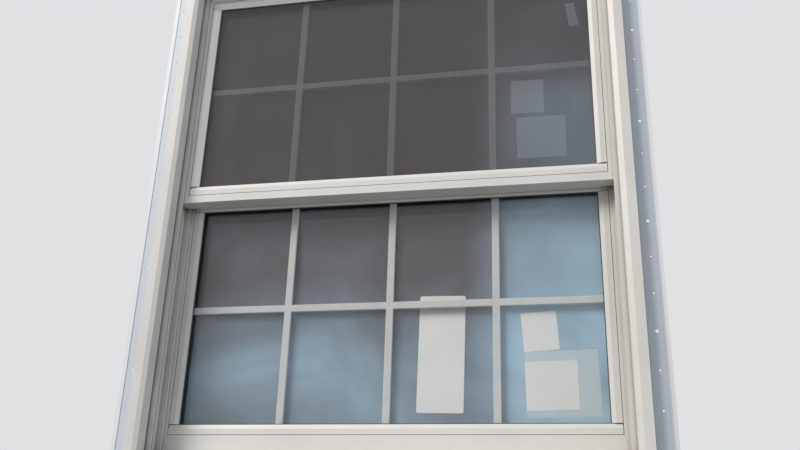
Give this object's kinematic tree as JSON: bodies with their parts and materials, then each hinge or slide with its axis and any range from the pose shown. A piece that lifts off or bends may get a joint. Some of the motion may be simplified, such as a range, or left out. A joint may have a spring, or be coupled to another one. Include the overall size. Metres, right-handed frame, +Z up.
{
  "type": "sash window",
  "caption": "Double-hung vinyl window with nailing fins, insulating glass with flat bars between the panes, cam locks and spring balances.",
  "frame": {"origin": "centre of the frame's width and height, in the plane of the nailing fins' back faces", "axes": "+Z up, -Y outdoors, +X to the right as seen from outdoors"},
  "size_m": [1.143, 0.1369, 1.295],
  "materials": {
    "frame_vinyl": "satin extruded vinyl",
    "sash_vinyl": "satin extruded vinyl",
    "glass": "clear float glass",
    "spacer": "black warm-edge spacer",
    "bars": "painted flat bars",
    "paper": "plain paper label",
    "pile": "woven pile",
    "rubber": "soft rubber",
    "nylon": "moulded nylon",
    "cord": "braided cord",
    "steel": "zinc-plated steel",
    "lock": "painted die casting",
    "latch": "moulded latch"
  },
  "bodies": {
    "frame": {"frame_head": "frame_vinyl", "frame_sill": "frame_vinyl", "frame_jamb_left": "frame_vinyl", "frame_jamb_right": "frame_vinyl", "cord_clips": "steel", "clip_screws": "steel", "lower_sash_stops": "sash_vinyl", "lower_cords": "cord", "upper_cords": "cord"},
    "upper_sash": {"upper_left_stile": "sash_vinyl", "upper_right_stile": "sash_vinyl", "upper_outer_pane": "glass", "upper_inner_pane": "glass", "upper_spacer": "spacer", "upper_grille": "bars", "upper_bead_left": "sash_vinyl", "upper_bead_right": "sash_vinyl", "upper_bead_top": "sash_vinyl", "upper_bead_bottom": "sash_vinyl", "upper_glazing_gasket": "rubber", "upper_setting_blocks": "rubber", "upper_pile_strips": "pile", "upper_pivot_bars": "steel", "upper_balance_shoes": "nylon", "upper_balances": "steel", "upper_top_rail": "sash_vinyl", "upper_meeting_rail": "sash_vinyl", "lock_keepers": "lock", "keeper_screws": "steel", "upper_labels": "paper"},
    "lower_sash": {"lower_left_stile": "sash_vinyl", "lower_right_stile": "sash_vinyl", "lower_outer_pane": "glass", "lower_inner_pane": "glass", "lower_spacer": "spacer", "lower_grille": "bars", "lower_bead_left": "sash_vinyl", "lower_bead_right": "sash_vinyl", "lower_bead_top": "sash_vinyl", "lower_bead_bottom": "sash_vinyl", "lower_glazing_gasket": "rubber", "lower_setting_blocks": "rubber", "lower_pile_strips": "pile", "lower_pivot_bars": "steel", "lower_balance_shoes": "nylon", "lower_balances": "steel", "lower_meeting_rail": "sash_vinyl", "lower_bottom_rail": "sash_vinyl", "lock_base_left": "lock", "lock_base_right": "lock", "lock_screws": "steel", "bottom_bulb_seal": "rubber", "lower_labels": "paper"},
    "upper_left_latch": {"upper_left_latch": "latch"},
    "upper_right_latch": {"upper_right_latch": "latch"},
    "lower_left_latch": {"lower_left_latch": "latch"},
    "lower_right_latch": {"lower_right_latch": "latch"},
    "lock_lever_left": {"lock_lever_left": "lock"},
    "lock_lever_right": {"lock_lever_right": "lock"}
  },
  "joints": [
    {"name": "lower_sash_slide", "type": "slide", "parent": "frame", "child": "lower_sash", "axis": [0, 0, 1], "range_m": [0, 0.475], "deforming": ["lower_cords"]},
    {"name": "upper_sash_slide", "type": "slide", "parent": "frame", "child": "upper_sash", "axis": [0, 0, -1], "range_m": [0, 0.54], "deforming": ["upper_cords"]},
    {"name": "upper_left_latch_slide", "type": "slide", "parent": "upper_sash", "child": "upper_left_latch", "axis": [1, 0, 0], "range_m": [0, 0.01], "stiffness_N_per_m": 300, "springref_m": -0.004},
    {"name": "upper_right_latch_slide", "type": "slide", "parent": "upper_sash", "child": "upper_right_latch", "axis": [-1, 0, 0], "range_m": [0, 0.01], "stiffness_N_per_m": 300, "springref_m": -0.004},
    {"name": "lower_left_latch_slide", "type": "slide", "parent": "lower_sash", "child": "lower_left_latch", "axis": [1, 0, 0], "range_m": [0, 0.01], "stiffness_N_per_m": 300, "springref_m": -0.004},
    {"name": "lower_right_latch_slide", "type": "slide", "parent": "lower_sash", "child": "lower_right_latch", "axis": [-1, 0, 0], "range_m": [0, 0.01], "stiffness_N_per_m": 300, "springref_m": -0.004},
    {"name": "lock_left_turn", "type": "hinge", "parent": "lower_sash", "child": "lock_lever_left", "pos_m": [-0.23, 0.065, 0.0265], "axis": [0, 0, 1], "range_deg": [-100, 0]},
    {"name": "lock_right_turn", "type": "hinge", "parent": "lower_sash", "child": "lock_lever_right", "pos_m": [0.23, 0.065, 0.0265], "axis": [0, 0, 1], "range_deg": [-100, 0]}
  ]
}
